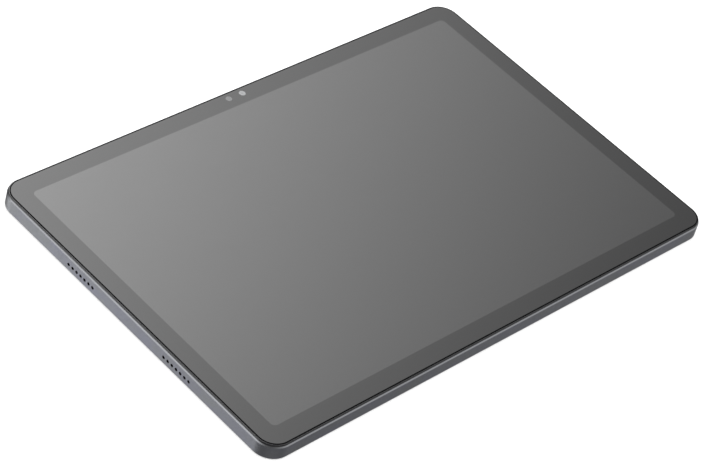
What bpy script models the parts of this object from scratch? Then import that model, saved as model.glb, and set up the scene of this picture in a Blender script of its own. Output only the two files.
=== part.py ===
"""Eleven-inch tablet computer, modelled as the pieces that it comes apart into.

Run it with blender --background --python part.py, or from Blender's text editor.

Units are metres and +Z is up. The tablet lies on its back with its screen facing up.
X runs along the long side, +Y points to the long side that holds the front camera,
and the origin is on the flat back, under the middle of the body.
"""
import math

import bmesh
import bpy
from mathutils import Matrix, Vector

# ---------------------------------------------------------------- driving dimensions

BODY_X = 0.2566                 # long side of the body
BODY_Y = 0.1674                 # short side of the body
BODY_TOP = 0.0075               # face of the cover glass above the back
BODY_CORNER = 0.0090            # corner radius seen from above
CORNER_STEPS = 9                # facets in a quarter of a body corner

WALL = 0.0015                   # side wall of the rear housing
FLOOR = 0.0009                  # back of the rear housing
HOUSING_TOP = 0.0065            # the metal stops here and the plastic frame starts
BACK_ROUND = 0.0006             # rounded edge between the back and the sides
HOUSING_CHAMFER = 0.00045       # polished edge at the top of the metal

GAP = 0.0001                    # clearance between stacked pieces
SLIP = 0.0002                   # clearance around pieces that move

FRAME_INSET = 0.0004            # frame's outer face, in from the body's side
FRAME_SHOULDER = 0.00035        # rounding between that face and the lip
FRAME_TOP = 0.00735             # lip around the glass
GLASS_INSET = 0.00095           # edge of the cover glass, in from the body's side
GLASS_BOTTOM = 0.00685
GLASS_EDGE = 0.00045            # rounding of the glass edge
LEDGE_Z = (0.0062, 0.00665)     # ledge that the glass is taped down on
TAPE_INNER = 0.0026             # inner edge of that tape, in from the body's side
SKIRT_INNER = 0.0027            # inner face of the frame's skirt, in from the body's side
SKIRT_BOTTOM = 0.0050
WINDOW_MARGIN = 0.0007          # gap between the display module and the frame's window
MID_FRAME_INSET = 0.0030        # edge of the mid frame, in from the body's side

LCD_X = 0.2426                  # outline of the display module
LCD_Y = 0.1538
LCD_Z = (0.00575, 0.00675)
BACKLIGHT_Z = (0.00435, 0.00565)
MID_FRAME_Z = (0.00385, 0.00425)
BOARD_Z = (0.00095, 0.00165)    # main board
CELL_Z = (0.0010, 0.0036)       # battery cells

GRILLE_Y = {"lower": -0.0289, "upper": 0.0298}    # speaker grilles, on both short sides
GRILLE_HOLES = 7
GRILLE_PITCH = 0.0025
GRILLE_HOLE_RADIUS = 0.0007
GRILLE_Z = 0.0030

POWER_X = -0.1000               # middle of the power button, on the +Y side
POWER_LENGTH = 0.0130
VOLUME_X = -0.0720              # middle of the volume rocker
VOLUME_LENGTH = 0.0240
KEY_Z = 0.0035                  # middle of both keys
KEY_HEIGHT = 0.0020
KEY_PROUD = 0.0004              # how far a key stands out of the side

USB_Z = 0.0026                  # middle of the socket, at y = 0 on the +X side
USB_WIDTH = 0.00894
USB_HEIGHT = 0.00316

TRAY_Y = (0.0490, 0.0660)       # face of the card tray, on the +X side
TRAY_Z = (0.0016, 0.0040)
TRAY_INNER_X = 0.1054           # inner end of the tray
TRAY_HOLE_Y = 0.0505            # hole for the eject pin
EJECT_Z = 0.0025                # middle of the pin hole and the eject rod

REAR_CAMERA = (-0.1080, 0.0640)
FLASH = (-0.0970, 0.0640)
FRONT_CAMERA = (0.0, 0.0794)
LIGHT_SENSOR = (-0.0077, 0.0794)
SIGHT_RADIUS = 0.0017           # holes in the frame that the two look through
MICROPHONE_X = (-0.0300, 0.0540)
MICROPHONE_Z = 0.0025
TOUCH_FLEX_X = 0.0660

SCREW_X = 0.1237                # screws near the four corners
SCREW_Y = 0.0720
SCREW_BOTTOM = 0.0022
POST_RADIUS = 0.0018            # posts in the housing that the screws go into
POST_BORE = 0.0009

HALF_X = BODY_X / 2
HALF_Y = BODY_Y / 2
IN_X = HALF_X - WALL            # inner faces of the side walls
IN_Y = HALF_Y - WALL

# ---------------------------------------------------------------- scene and materials

MATERIALS = {
    # name: (colour, roughness, metallic)
    "slate_aluminium": ((0.21, 0.215, 0.235, 1.0), 0.38, 0.9),
    "dark_plastic": ((0.055, 0.057, 0.062, 1.0), 0.45, 0.0),
    "cover_glass": ((0.02, 0.02, 0.022, 1.0), 0.06, 0.0),
    "tape": ((0.03, 0.03, 0.03, 1.0), 0.8, 0.0),
    "display": ((0.03, 0.032, 0.035, 1.0), 0.2, 0.0),
    "white_film": ((0.75, 0.76, 0.76, 1.0), 0.5, 0.0),
    "magnesium": ((0.45, 0.46, 0.47, 1.0), 0.5, 0.8),
    "battery_foil": ((0.09, 0.09, 0.10, 1.0), 0.45, 0.2),
    "circuit_board": ((0.02, 0.10, 0.06, 1.0), 0.45, 0.0),
    "chip": ((0.015, 0.015, 0.017, 1.0), 0.5, 0.0),
    "shield_steel": ((0.60, 0.61, 0.62, 1.0), 0.35, 1.0),
    "polyimide": ((0.42, 0.17, 0.03, 1.0), 0.4, 0.0),
    "black_moulding": ((0.02, 0.02, 0.022, 1.0), 0.55, 0.0),
    "steel": ((0.55, 0.55, 0.56, 1.0), 0.3, 1.0),
    "rubber": ((0.03, 0.03, 0.03, 1.0), 0.85, 0.0),
    "lens_glass": ((0.01, 0.012, 0.02, 1.0), 0.05, 0.0),
    "flash_plastic": ((0.85, 0.82, 0.65, 1.0), 0.3, 0.0),
}


def clear_scene():
    """Remove what the scene starts with."""
    for obj in list(bpy.data.objects):
        bpy.data.objects.remove(obj, do_unlink=True)


def new_collection(name):
    """Make a collection under the scene's own."""
    collection = bpy.data.collections.new(name)
    bpy.context.scene.collection.children.link(collection)
    return collection


def make_materials():
    """One Principled material for each kind of stuff."""
    for name, (colour, roughness, metallic) in MATERIALS.items():
        mat = bpy.data.materials.new(name)
        mat.use_nodes = True
        shader = mat.node_tree.nodes["Principled BSDF"]
        shader.inputs["Base Color"].default_value = colour
        shader.inputs["Roughness"].default_value = roughness
        shader.inputs["Metallic"].default_value = metallic
        mat.diffuse_color = colour


clear_scene()
PARTS = new_collection("tablet_computer")
CUTTERS = new_collection("cutters")
make_materials()

# ---------------------------------------------------------------- modelling tools


def centred(middle, size):
    """Low and high ends of a span, from its middle and its size."""
    return (middle - size / 2, middle + size / 2)


def grown(span, extra):
    """A span made longer by the same amount at both ends."""
    return (span[0] - extra, span[1] + extra)


def add_block(bm, x, y, z, corner=0.0, axis="Z", steps=4):
    """Add a box over three spans; corner rounds its four edges along one axis."""
    made = bmesh.ops.create_cube(bm, size=1.0)
    verts = made["verts"]
    size = Vector((x[1] - x[0], y[1] - y[0], z[1] - z[0]))
    middle = Vector((sum(x) / 2, sum(y) / 2, sum(z) / 2))
    bmesh.ops.scale(bm, vec=size, verts=verts)
    bmesh.ops.translate(bm, vec=middle, verts=verts)
    if corner > 0:
        along = "XYZ".index(axis)
        edges = set()
        for vert in verts:
            for edge in vert.link_edges:
                span = edge.verts[0].co - edge.verts[1].co
                if abs(span[along]) > span.length * 0.999:
                    edges.add(edge)
        bmesh.ops.bevel(bm, geom=list(edges), offset=corner, segments=steps,
                        profile=0.5, affect="EDGES")


def add_cylinder(bm, centre, radius, length, axis="Z", steps=24):
    """Add a closed cylinder with its middle at centre."""
    turn = {"X": Matrix.Rotation(math.pi / 2, 4, "Y"),
            "Y": Matrix.Rotation(math.pi / 2, 4, "X"),
            "Z": Matrix.Identity(4)}[axis]
    bmesh.ops.create_cone(bm, cap_ends=True, segments=steps, radius1=radius, radius2=radius,
                          depth=length, matrix=Matrix.Translation(centre) @ turn)


def block(x, y, z, corner=0.0, axis="Z", steps=4):
    """A new mesh holding one box."""
    bm = bmesh.new()
    add_block(bm, x, y, z, corner, axis, steps)
    return bm


def cylinder(centre, radius, length, axis="Z", steps=24):
    """A new mesh holding one cylinder."""
    bm = bmesh.new()
    add_cylinder(bm, centre, radius, length, axis, steps)
    return bm


def body_slab(inset, z, steps=CORNER_STEPS):
    """A slab with the body's own outline, drawn in by inset."""
    return block(centred(0, BODY_X - 2 * inset), centred(0, BODY_Y - 2 * inset), z,
                 corner=BODY_CORNER - inset, steps=steps)


def round_rim(bm, level, width, segments):
    """Bevel the loop of edges that lies at one height."""
    rim = [e for e in bm.edges if all(abs(v.co.z - level) < 1e-7 for v in e.verts)]
    bmesh.ops.bevel(bm, geom=rim, offset=width, segments=segments, profile=0.5,
                    affect="EDGES")


def add_part(name, material, bm, origin=(0.0, 0.0, 0.0), smooth=False):
    """Turn a mesh into one named part; origin is where the part's own axes sit."""
    bmesh.ops.translate(bm, vec=-Vector(origin), verts=bm.verts)
    bmesh.ops.recalc_face_normals(bm, faces=bm.faces)
    mesh = bpy.data.meshes.new(name)
    bm.to_mesh(mesh)
    bm.free()
    mesh.materials.append(bpy.data.materials[material])
    if smooth:
        mesh.shade_smooth()
        mesh.set_sharp_from_angle(angle=math.radians(35))
    obj = bpy.data.objects.new(name, mesh)
    obj.location = origin
    PARTS.objects.link(obj)
    return obj


def add_turned(name, material, profile, location):
    """A turned part: a profile in the XZ plane, swept about Z by a Screw modifier."""
    mesh = bpy.data.meshes.new(name)
    closed = profile[0][0] > 0 and profile[-1][0] > 0
    count = len(profile)
    edges = [(i, i + 1) for i in range(count - 1)]
    if closed:
        edges.append((count - 1, 0))
    mesh.from_pydata([(r, 0.0, z) for r, z in profile], edges, [])
    mesh.materials.append(bpy.data.materials[material])
    obj = bpy.data.objects.new(name, mesh)
    obj.location = location
    PARTS.objects.link(obj)
    screw = obj.modifiers.new("turn", "SCREW")
    screw.axis = "Z"
    screw.steps = 32
    screw.render_steps = 32
    screw.use_merge_vertices = True
    screw.merge_threshold = 0.00001
    screw.use_smooth_shade = True
    return obj


def boolean(target, name, bm, operation):
    """Cut a mesh out of a part, or join it on, with a Boolean modifier."""
    bmesh.ops.recalc_face_normals(bm, faces=bm.faces)
    mesh = bpy.data.meshes.new(name)
    bm.to_mesh(mesh)
    bm.free()
    tool = bpy.data.objects.new(name, mesh)
    tool.hide_render = True
    tool.display_type = "WIRE"
    CUTTERS.objects.link(tool)
    tool.parent = target
    tool.matrix_parent_inverse = Matrix.Translation(-target.location)
    modifier = target.modifiers.new(name, "BOOLEAN")
    modifier.operation = operation
    modifier.solver = "EXACT"
    modifier.object = tool


def cut(target, name, bm):
    """Take a mesh away from a part."""
    boolean(target, name, bm, "DIFFERENCE")


def join(target, name, bm):
    """Add a mesh to a part."""
    boolean(target, name, bm, "UNION")


# ---------------------------------------------------------------- casing


def screw_points():
    """The four screw positions."""
    return [(sx * SCREW_X, sy * SCREW_Y) for sx in (-1, 1) for sy in (-1, 1)]


def make_rear_housing():
    """Milled aluminium back and sides, with every opening in them."""
    shell = body_slab(0.0, (0.0, HOUSING_TOP))
    round_rim(shell, 0.0, BACK_ROUND, 3)
    round_rim(shell, HOUSING_TOP, HOUSING_CHAMFER, 1)
    housing = add_part("rear_housing", "slate_aluminium", shell, smooth=True)

    cut(housing, "housing_pocket", body_slab(WALL, (FLOOR, 0.010)))

    posts = bmesh.new()
    for x, y in screw_points():
        add_cylinder(posts, (x, y, 0.00210), POST_RADIUS, 0.0033)
    join(housing, "screw_posts", posts)
    post_bores = bmesh.new()
    for x, y in screw_points():
        add_cylinder(post_bores, (x, y, 0.0030), POST_BORE, 0.0022)
    cut(housing, "post_bores", post_bores)

    grilles = bmesh.new()
    first = -(GRILLE_HOLES - 1) / 2 * GRILLE_PITCH
    for side in (-1, 1):
        for row_y in GRILLE_Y.values():
            for i in range(GRILLE_HOLES):
                y = row_y + first + i * GRILLE_PITCH
                add_cylinder(grilles, (side * (HALF_X - WALL / 2), y, GRILLE_Z),
                             GRILLE_HOLE_RADIUS, 2 * WALL, axis="X", steps=12)
    cut(housing, "grille_holes", grilles)

    through_x = (IN_X - WALL, HALF_X + WALL)
    through_y = (IN_Y - WALL, HALF_Y + WALL)
    cut(housing, "usb_slot", block(
        through_x, centred(0, USB_WIDTH + 2 * SLIP), centred(USB_Z, USB_HEIGHT + 2 * SLIP),
        corner=USB_HEIGHT / 2, axis="X", steps=6))
    cut(housing, "tray_slot", block(
        through_x, grown(TRAY_Y, SLIP), grown(TRAY_Z, SLIP), corner=0.0011, axis="X"))
    for name, middle, length in (("power_slot", POWER_X, POWER_LENGTH),
                                 ("volume_slot", VOLUME_X, VOLUME_LENGTH)):
        cut(housing, name, block(
            centred(middle, length + 2 * SLIP), through_y,
            centred(KEY_Z, KEY_HEIGHT + 2 * SLIP), corner=0.0010, axis="Y"))
    sound_holes = bmesh.new()
    for x in MICROPHONE_X:
        add_cylinder(sound_holes, (x, HALF_Y - WALL / 2, MICROPHONE_Z), 0.0005, 2 * WALL,
                     axis="Y", steps=12)
    cut(housing, "microphone_holes", sound_holes)

    windows = bmesh.new()
    add_cylinder(windows, (*REAR_CAMERA, 0.0), 0.0038, 0.004, steps=32)
    add_cylinder(windows, (*FLASH, 0.0), 0.0017, 0.004)
    cut(housing, "back_windows", windows)
    cut(housing, "camera_recess", cylinder((*REAR_CAMERA, 0.0), 0.0065, 0.0012, steps=32))


def make_front_frame():
    """Plastic frame around the glass, with a skirt that drops inside the housing."""
    bottom = HOUSING_TOP + GAP
    ring = body_slab(FRAME_INSET, (bottom, FRAME_TOP))
    round_rim(ring, FRAME_TOP, FRAME_SHOULDER, 3)
    frame = add_part("front_frame", "dark_plastic", ring, smooth=True)
    join(frame, "frame_skirt", body_slab(WALL + SLIP, (SKIRT_BOTTOM, bottom + GAP)))
    cut(frame, "skirt_hollow", body_slab(SKIRT_INNER, (SKIRT_BOTTOM - 0.001, LEDGE_Z[0])))
    window = block(centred(0, LCD_X + 2 * WINDOW_MARGIN),
                   centred(0, LCD_Y + 2 * WINDOW_MARGIN), (0.0040, 0.0090))
    cut(frame, "display_window", window)
    cut(frame, "glass_recess", body_slab(GLASS_INSET - GAP, (LEDGE_Z[1], 0.0090)))
    sight = bmesh.new()
    add_cylinder(sight, (*FRONT_CAMERA, LEDGE_Z[1]), SIGHT_RADIUS, 0.002)
    add_cylinder(sight, (*LIGHT_SENSOR, LEDGE_Z[1]), SIGHT_RADIUS, 0.002)
    cut(frame, "sight_holes", sight)


def make_glass():
    """Cover glass with a rounded edge, and the tape that holds it on the ledge."""
    pane = body_slab(GLASS_INSET, (GLASS_BOTTOM, BODY_TOP))
    round_rim(pane, BODY_TOP, GLASS_EDGE, 3)
    add_part("cover_glass", "cover_glass", pane, smooth=True)

    tape_z = (LEDGE_Z[1] + GAP / 2, GLASS_BOTTOM - GAP / 2)
    tape = add_part("glass_tape", "tape", body_slab(GLASS_INSET + GAP, tape_z, steps=5))
    cut(tape, "tape_window",
        block(centred(0, BODY_X - 2 * TAPE_INNER), centred(0, BODY_Y - 2 * TAPE_INNER),
              (0.006, 0.008), corner=BODY_CORNER - TAPE_INNER))


def make_mid_frame():
    """Magnesium plate that stiffens the tablet and carries the display."""
    plate = add_part("mid_frame", "magnesium", body_slab(MID_FRAME_INSET, MID_FRAME_Z, steps=5))
    openings = bmesh.new()
    deep = (0.0030, 0.0050)
    for x, y in screw_points():
        add_cylinder(openings, (x, y, 0.0040), 0.0010, 0.002, steps=16)
    add_block(openings, centred(FRONT_CAMERA[0], 0.0094), (0.0766, 0.0830), deep)
    add_block(openings, (-0.1120, -0.0560), (0.0784, 0.0830), deep)
    add_block(openings, centred(TOUCH_FLEX_X, 0.0130), (0.0768, 0.0830), deep)
    add_block(openings, (0.1180, 0.1300), centred(0, 0.0110), deep)
    add_cylinder(openings, (*REAR_CAMERA, 0.0040), 0.0070, 0.002, steps=32)
    cut(plate, "mid_frame_openings", openings)


def make_screws():
    """Pan-head screws that hold the mid frame on the housing's posts."""
    seat = MID_FRAME_Z[1] + GAP / 2
    head, shank = 0.0012, 0.0007
    profile = [(0.0, seat + 0.0005), (0.0009, seat + 0.0005), (head, seat + 0.0003),
               (head, seat), (shank, seat), (shank, SCREW_BOTTOM), (0.0, SCREW_BOTTOM)]
    for i, (x, y) in enumerate(screw_points()):
        add_turned(f"mid_frame_screw_{i + 1}", "steel", profile, (x, y, 0.0))


# ---------------------------------------------------------------- display

DISPLAY_FLEX_X = 0.0300
DRIVER_BOARD_Y = (-0.0806, -0.0773)


def make_display():
    """Display panel, its backlight, and the boards and flexes that feed them."""
    outline_x = centred(0, LCD_X)
    outline_y = centred(0, LCD_Y)
    add_part("lcd_panel", "display", block(outline_x, outline_y, LCD_Z, corner=0.0010))
    add_part("backlight_unit", "white_film",
             block(outline_x, outline_y, BACKLIGHT_Z, corner=0.0010))
    add_part("display_driver_board", "circuit_board",
             block((-0.0700, 0.0700), DRIVER_BOARD_Y, (0.0044, 0.0049)))

    strip_z = (0.00368, 0.00378)
    strip_y = (-0.0810, 0.0500)
    flex = add_part("display_flex", "polyimide",
                    block(centred(DISPLAY_FLEX_X, 0.0180), strip_y, strip_z))
    join(flex, "display_flex_leg", block(centred(DISPLAY_FLEX_X, 0.0180),
                                         (-0.0810, -0.0809), (0.00372, 0.0048)))
    join(flex, "display_plug", block(centred(DISPLAY_FLEX_X, 0.0120), (0.0460, 0.0490),
                                     (0.00175, 0.00372)))

    touch = add_part("touch_flex", "polyimide",
                     block(centred(TOUCH_FLEX_X, 0.0100), (0.07715, 0.07730),
                           (0.0026, 0.0066)))
    join(touch, "touch_flex_foot", block(centred(TOUCH_FLEX_X, 0.0100), (0.0730, 0.07725),
                                         (0.0026, 0.0027)))
    join(touch, "touch_plug", block(centred(TOUCH_FLEX_X, 0.0080), (0.0730, 0.0760),
                                    (0.00170, 0.00265)))


# ---------------------------------------------------------------- battery and boards

CELL_X = (0.0015, 0.0940)
CELL_Y = (-0.0790, 0.0400)
BOARD_X = (-0.0840, 0.1240)
BOARD_Y = (0.0440, 0.0790)
CHIP_Z = (0.00170, 0.00260)
SHIELD_Z = (0.00170, 0.00340)
LINK_X = (0.0965, 0.1015)


def make_battery():
    """Two pouch cells side by side, their protection board and its flex."""
    for name, side in (("left", -1), ("right", 1)):
        span = tuple(sorted((side * CELL_X[0], side * CELL_X[1])))
        add_part(f"battery_cell_{name}", "battery_foil",
                 block(span, CELL_Y, CELL_Z, corner=0.0020))
    add_part("battery_protection_board", "circuit_board",
             block((-0.0300, 0.0120), (0.0404, 0.0434), (0.0012, 0.0020)))
    flex = add_part("battery_flex", "polyimide",
                    block((0.0, 0.0080), (0.0410, 0.0500), (0.0025, 0.0026)))
    join(flex, "battery_plug", block((0.0, 0.0080), (0.0470, 0.0500), (0.0017, 0.00255)))
    join(flex, "battery_tab", block((0.0, 0.0080), (0.0410, 0.0425), (0.00205, 0.00255)))


def make_main_board():
    """Main board with its chips, and a sheet steel shield over each group."""
    board = add_part("main_board", "circuit_board", block(BOARD_X, BOARD_Y, BOARD_Z))
    corners = bmesh.new()
    add_block(corners, (0.1025, 0.1300), (0.0400, 0.0486), (0.0, 0.0030))
    add_cylinder(corners, (SCREW_X, SCREW_Y, 0.0013), 0.0022, 0.002)
    cut(board, "board_clearances", corners)

    add_part("processor", "chip", block((-0.0460, -0.0320), (0.0550, 0.0690), CHIP_Z))
    add_part("memory_chip", "chip", block((-0.0290, -0.0180), (0.0560, 0.0680), CHIP_Z))
    add_part("storage_chip", "chip", block((-0.0100, 0.0015), (0.0550, 0.0680), CHIP_Z))
    for name, x, y in (("processor_shield", (-0.0500, -0.0140), (0.0515, 0.0725)),
                       ("power_shield", (0.0120, 0.0420), (0.0520, 0.0725)),
                       ("wireless_shield", (0.0480, 0.0800), (0.0500, 0.0715))):
        lid = add_part(name, "shield_steel", block(x, y, SHIELD_Z, corner=0.0010))
        hollow = (SHIELD_Z[0] - 0.001, SHIELD_Z[1] - 0.0002)
        cut(lid, f"{name}_hollow", block(grown(x, -0.0002), grown(y, -0.0002), hollow))
    for name, x in zip(("left", "right"), MICROPHONE_X):
        add_part(f"microphone_{name}", "shield_steel",
                 block(centred(x, 0.0035), (0.0760, 0.0788), (0.0017, 0.0027)))


def make_sub_board():
    """Socket board on the +X side, its USB-C socket, and its flex to the main board."""
    sub_z = (0.0020, 0.0028)
    board = add_part("usb_board", "circuit_board",
                     block((0.0960, 0.1245), centred(0, 0.0210), sub_z))
    cut(board, "usb_board_notch",
        block((0.1198, 0.1300), centred(0, USB_WIDTH + 2 * SLIP), (0.0, 0.0050)))

    back = 0.1202
    shell = add_part("usb_c_shell", "steel", block(
        (back, HALF_X - 0.0003), centred(0, USB_WIDTH), centred(USB_Z, USB_HEIGHT),
        corner=USB_HEIGHT / 2 - 0.00001, axis="X", steps=6), smooth=True)
    skin = 0.0003
    cut(shell, "usb_c_mouth", block(
        (back + 0.0010, 0.1300), centred(0, USB_WIDTH - 2 * skin),
        centred(USB_Z, USB_HEIGHT - 2 * skin),
        corner=USB_HEIGHT / 2 - skin - 0.00001, axis="X", steps=6))
    add_part("usb_c_tongue", "black_moulding", block(
        (back + 0.0011, HALF_X - 0.0011), centred(0, 0.00669), centred(USB_Z, 0.0007)))

    link = add_part("board_link_flex", "polyimide",
                    block(LINK_X, (-0.0050, 0.0480), (0.0032, 0.0033)))
    join(link, "link_plug_main", block(LINK_X, (0.0450, 0.0480), (0.0017, 0.00325)))
    join(link, "link_plug_usb", block(LINK_X, (-0.0050, -0.0020), (0.00285, 0.00325)))


# ---------------------------------------------------------------- sound, cameras, radio


SPEAKER_X = (0.1040, 0.1259)          # box and mesh, on the +X side
SPEAKER_MESH_X = (0.1261, 0.1266)
SPEAKER_Z = (0.0010, 0.0037)
SPEAKER_LENGTH = 0.0350
MESH_LENGTH = 0.0190
MESH_HEIGHT = 0.0022
ANTENNA_X = (0.1261, 0.1263)
ANTENNA_Z = (0.0012, 0.0048)


def make_speakers():
    """Four speaker boxes behind the grilles, each with a dust mesh in front."""
    for side_name, side in (("left", -1), ("right", 1)):
        for row_name, row_y in GRILLE_Y.items():
            box_x = tuple(sorted(side * x for x in SPEAKER_X))
            mesh_x = tuple(sorted(side * x for x in SPEAKER_MESH_X))
            name = f"speaker_{side_name}_{row_name}"
            box = add_part(name, "black_moulding",
                           block(box_x, centred(row_y, SPEAKER_LENGTH), SPEAKER_Z,
                                 corner=0.0012))
            cut(box, f"{name}_outlet",
                block(centred(side * 0.1260, 0.0060), centred(row_y, 0.0170),
                      centred(GRILLE_Z, 0.0010)))
            add_part(f"speaker_mesh_{side_name}_{row_name}", "shield_steel",
                     block(mesh_x, centred(row_y, MESH_LENGTH),
                           centred(GRILLE_Z, MESH_HEIGHT), corner=0.0006, axis="X"))


def make_cameras():
    """Front camera and light sensor under the glass, rear camera and flash in the back."""
    body_y = (0.0772, 0.0808)
    camera = add_part("front_camera", "black_moulding",
                      block(centred(FRONT_CAMERA[0], 0.0080), body_y, (0.0030, 0.0061)))
    join(camera, "front_camera_barrel",
         cylinder((*FRONT_CAMERA, 0.0064), 0.0014, 0.0007))
    sensor = add_part("light_sensor", "black_moulding",
                      block(centred(LIGHT_SENSOR[0], 0.0040), body_y, (0.0044, 0.0052)))
    join(sensor, "light_sensor_window",
         cylinder((*LIGHT_SENSOR, 0.0058), 0.0013, 0.0014, steps=20))

    rear = add_part("rear_camera", "black_moulding",
                    block(centred(REAR_CAMERA[0], 0.0090), centred(REAR_CAMERA[1], 0.0090),
                          (0.0013, 0.0041), corner=0.0008))
    join(rear, "rear_camera_barrel", cylinder((*REAR_CAMERA, 0.0011), 0.0032, 0.0006))
    ring_out, ring_in, ring_top = 0.0063, 0.0043, 0.0005
    add_turned("rear_camera_ring", "steel",
               [(ring_out - 0.0002, ring_top), (ring_out, ring_top - 0.0002),
                (ring_out, 0.00002), (ring_in, 0.00002), (ring_in, ring_top)],
               (*REAR_CAMERA, 0.0))
    add_turned("rear_camera_window", "lens_glass",
               [(0.0, 0.0005), (0.0041, 0.0005), (0.0041, 0.0001), (0.0, 0.0001)],
               (*REAR_CAMERA, 0.0))
    add_part("flash_led", "flash_plastic",
             block(centred(FLASH[0], 0.0024), centred(FLASH[1], 0.0024), (0.0010, 0.0017)))
    add_turned("flash_lens", "flash_plastic",
               [(0.0, 0.0008), (0.0015, 0.0008), (0.0015, 0.00005), (0.0, 0.00005)],
               (*FLASH, 0.0))


def make_antennas():
    """Thin flexible antennas along the short sides, at opposite corners."""
    for name, side in (("left", -1), ("right", 1)):
        x = tuple(sorted(side * depth for depth in ANTENNA_X))
        y = tuple(sorted((-side * 0.0500, -side * 0.0720)))
        add_part(f"antenna_{name}", "polyimide", block(x, y, ANTENNA_Z))


# ---------------------------------------------------------------- side keys

SHOULDER_Y = (0.08130, 0.08185)       # shoulder that keeps a key inside the housing
SWITCH_Y = (0.07965, 0.08095)
SWITCH_OFFSET = 0.0080                # volume switches, either side of the middle


def make_key(name, middle, length, origin):
    """A side key: a cap through the slot and a shoulder behind the wall."""
    cap = block(centred(middle, length), (SHOULDER_Y[0] + GAP, HALF_Y + KEY_PROUD),
                centred(KEY_Z, KEY_HEIGHT), corner=0.0008, axis="Y")
    key = add_part(name, "slate_aluminium", cap, origin=origin, smooth=True)
    join(key, f"{name}_shoulder", block(centred(middle, length + 0.0012), SHOULDER_Y,
                                        centred(KEY_Z, KEY_HEIGHT + 0.0008)))


def make_side_keys():
    """Power button and volume rocker, with their switches, flex and bracket."""
    make_key("power_button", POWER_X, POWER_LENGTH, (POWER_X, HALF_Y, KEY_Z))
    make_key("volume_rocker", VOLUME_X, VOLUME_LENGTH, (VOLUME_X, HALF_Y - WALL / 2, KEY_Z))
    for name, x in (("power_switch", POWER_X),
                    ("volume_up_switch", VOLUME_X + SWITCH_OFFSET),
                    ("volume_down_switch", VOLUME_X - SWITCH_OFFSET)):
        add_part(name, "steel", block(centred(x, 0.0035), SWITCH_Y, centred(KEY_Z, 0.0020)))
    run = (-0.1080, -0.0600)
    add_part("side_key_flex", "polyimide", block(run, (0.07940, 0.07955), (0.0020, 0.0046)))
    add_part("side_key_bracket", "steel", block(run, (0.07890, 0.07930), (0.0018, 0.0046)))


# ---------------------------------------------------------------- card tray

READER_X = (0.1045, 0.1245)
READER_Y = (0.0524, 0.0666)
READER_Z = (0.00175, 0.0035)
CARRIER_Y = (0.0535, 0.0655)
CARRIER_Z = (0.0021, 0.0031)
LEVER_PIVOT = (0.1026, 0.0555)
LEVER_Z = (0.0022, 0.0028)


def make_card_tray():
    """Memory card tray: face plate, carrier with a card pocket, and its seal."""
    seat_x = HALF_X - WALL + SLIP
    tray = add_part("card_tray", "slate_aluminium",
                    block((seat_x, HALF_X), TRAY_Y, TRAY_Z, corner=0.0009, axis="X"),
                    origin=(HALF_X, sum(CARRIER_Y) / 2, sum(CARRIER_Z) / 2))
    join(tray, "tray_carrier",
         block((TRAY_INNER_X, seat_x + 0.0002), CARRIER_Y, CARRIER_Z))
    cut(tray, "card_pocket",
        block((0.1070, 0.1220), grown(CARRIER_Y, -0.0005), (0.0023, 0.0040)))
    cut(tray, "pin_hole",
        cylinder((HALF_X, TRAY_HOLE_Y, EJECT_Z), 0.00045, 0.0060, axis="X", steps=12))

    seal_x = (seat_x - 0.0010, seat_x - GAP)
    seal = add_part("card_tray_seal", "rubber",
                    block(seal_x, grown(CARRIER_Y, 0.0005), grown(CARRIER_Z, 0.0005),
                          corner=0.0004, axis="X"),
                    origin=(HALF_X, sum(CARRIER_Y) / 2, sum(CARRIER_Z) / 2))
    cut(seal, "seal_mouth", block(grown(seal_x, 0.001), grown(CARRIER_Y, GAP),
                                  grown(CARRIER_Z, GAP)))


def make_card_reader():
    """Sheet steel card reader, with the post that the eject lever turns on."""
    reader = add_part("card_reader", "shield_steel", block(READER_X, READER_Y, READER_Z))
    cut(reader, "reader_slot", block(grown(READER_X, 0.001), grown(CARRIER_Y, 0.0004),
                                     (0.00200, 0.0033)))
    join(reader, "rod_guide", block((0.1100, 0.1130), (0.0495, READER_Y[0] + GAP), READER_Z))
    cut(reader, "rod_guide_bore", block((0.1090, 0.1140), centred(TRAY_HOLE_Y, 0.0012),
                                        centred(EJECT_Z, 0.0012)))
    join(reader, "reader_tail",
         block((0.1005, READER_X[0] + 0.0005), (0.0535, 0.0600), (0.00175, 0.00195)))
    join(reader, "lever_post", cylinder((*LEVER_PIVOT, 0.00245), 0.0005, 0.0012, steps=16))

    lever = add_part("eject_lever", "steel",
                     block(centred(LEVER_PIVOT[0], 0.0014), (0.0498, 0.0620), LEVER_Z,
                           corner=0.0006),
                     origin=(*LEVER_PIVOT, sum(LEVER_Z) / 2), smooth=True)
    cut(lever, "lever_bore", cylinder((*LEVER_PIVOT, 0.0025), 0.00065, 0.002, steps=16))

    add_part("eject_rod", "steel",
             block((0.1036, 0.1258), centred(TRAY_HOLE_Y, 0.0008), centred(EJECT_Z, 0.0008)),
             origin=(0.1258, TRAY_HOLE_Y, EJECT_Z))


make_rear_housing()
make_front_frame()
make_glass()
make_mid_frame()
make_screws()
make_display()
make_battery()
make_main_board()
make_sub_board()
make_speakers()
make_cameras()
make_antennas()
make_side_keys()
make_card_tray()
make_card_reader()
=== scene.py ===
import math

import bmesh
import bpy
from mathutils import Matrix, Vector


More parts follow.
